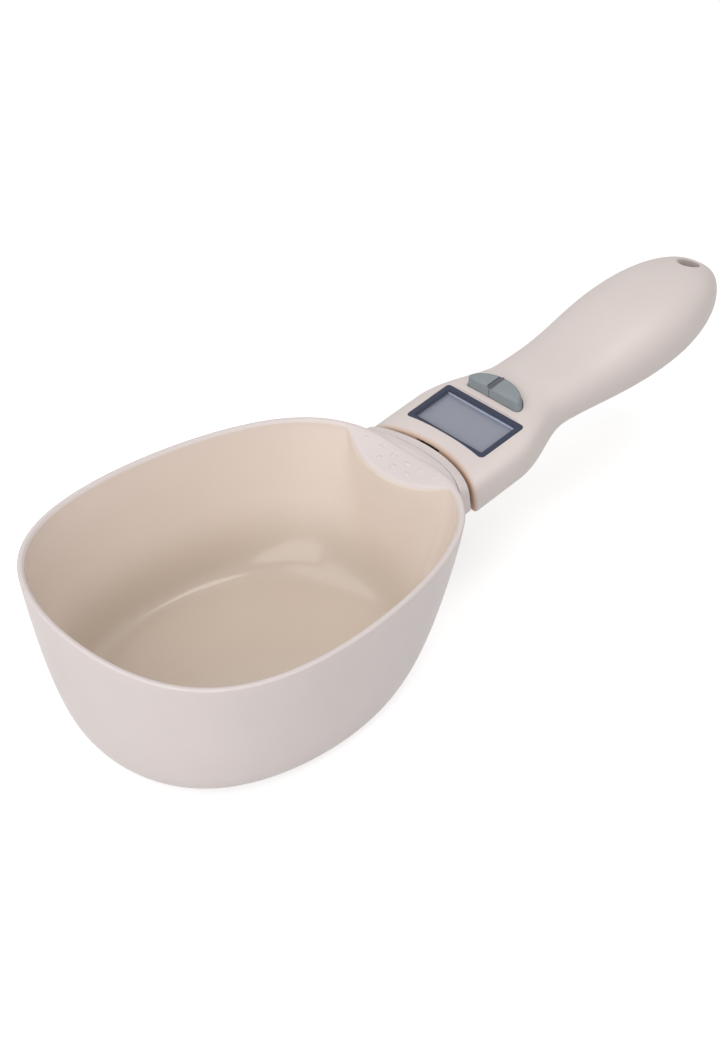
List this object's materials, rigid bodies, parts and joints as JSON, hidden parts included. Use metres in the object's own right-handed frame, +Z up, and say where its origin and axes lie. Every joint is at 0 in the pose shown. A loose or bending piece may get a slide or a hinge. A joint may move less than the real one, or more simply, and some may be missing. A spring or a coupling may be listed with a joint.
{
  "type": "digital scoop scale",
  "caption": "Measuring scoop with a deep oval bowl, a grip ledge, and a hollow handle that carries a display, two keys, a load cell and a battery bay; hanging hole at the tip.",
  "frame": {"origin": "centre of the bowl's flat base, on the surface it stands on", "axes": "+X from the bowl along the handle to its tip, +Y to the side that is on the left when looking along +X, +Z up out of the bowl's mouth"},
  "size_m": [0.2446, 0.0966, 0.0574],
  "materials": {
    "bowl_plastic": "satin",
    "housing_plastic": "satin",
    "window_clear": "gloss",
    "border_dark": "satin",
    "display_grey": "satin",
    "white_plastic": "matte",
    "key_grey": "matte",
    "web_rubber": "matte",
    "strip_rubber": "matte",
    "board_green": "satin",
    "package_black": "matte",
    "component_tan": "satin",
    "screw_steel": "brushed",
    "contact_nickel": "gloss",
    "cell_bar_alloy": "brushed",
    "battery_jacket": "gloss",
    "gauge_film": "gloss",
    "seal_rubber": "matte",
    "wire_red": "satin",
    "wire_black": "satin"
  },
  "bodies": {
    "scale_body": {"scoop_bowl": "bowl_plastic", "neck_collar": "housing_plastic", "neck_screws": "screw_steel", "handle_shell": "housing_plastic", "handle_cover": "housing_plastic", "tail_cover": "housing_plastic", "cover_screws": "screw_steel", "hang_sleeve": "housing_plastic", "display_window": "window_clear", "display_mask": "border_dark", "lcd_glass": "display_grey", "lcd_frame": "white_plastic", "zebra_strips": "strip_rubber", "circuit_board": "board_green", "board_chips": "package_black", "board_parts": "component_tan", "board_screws": "screw_steel", "key_web": "web_rubber", "switch_bodies": "contact_nickel", "load_cell": "cell_bar_alloy", "strain_gauges": "gauge_film", "load_cell_screws": "screw_steel", "gap_seal": "seal_rubber", "sensor_wires": "wire_red", "battery_tray": "white_plastic", "battery_cells": "battery_jacket", "battery_springs": "contact_nickel", "contact_plates": "contact_nickel", "battery_wires": "wire_black"},
    "unit_key": {"unit_key": "key_grey", "unit_plunger": "package_black"},
    "power_key": {"power_key": "key_grey", "power_plunger": "package_black"},
    "battery_door": {"battery_door": "housing_plastic"}
  },
  "joints": [
    {"name": "unit_key_press", "type": "slide", "parent": "scale_body", "child": "unit_key", "axis": [0.1409, 0, -0.99], "range_m": [0, 0.0004], "stiffness_N_per_m": 500, "springref_m": -0.0005},
    {"name": "power_key_press", "type": "slide", "parent": "scale_body", "child": "power_key", "axis": [0.1409, 0, -0.99], "range_m": [0, 0.0004], "stiffness_N_per_m": 500, "springref_m": -0.0005},
    {"name": "battery_door_hinge", "type": "hinge", "parent": "scale_body", "child": "battery_door", "pos_m": [0.18019, 0, 0.03886], "axis": [0, -1, 0], "range_deg": [0, 75]}
  ]
}
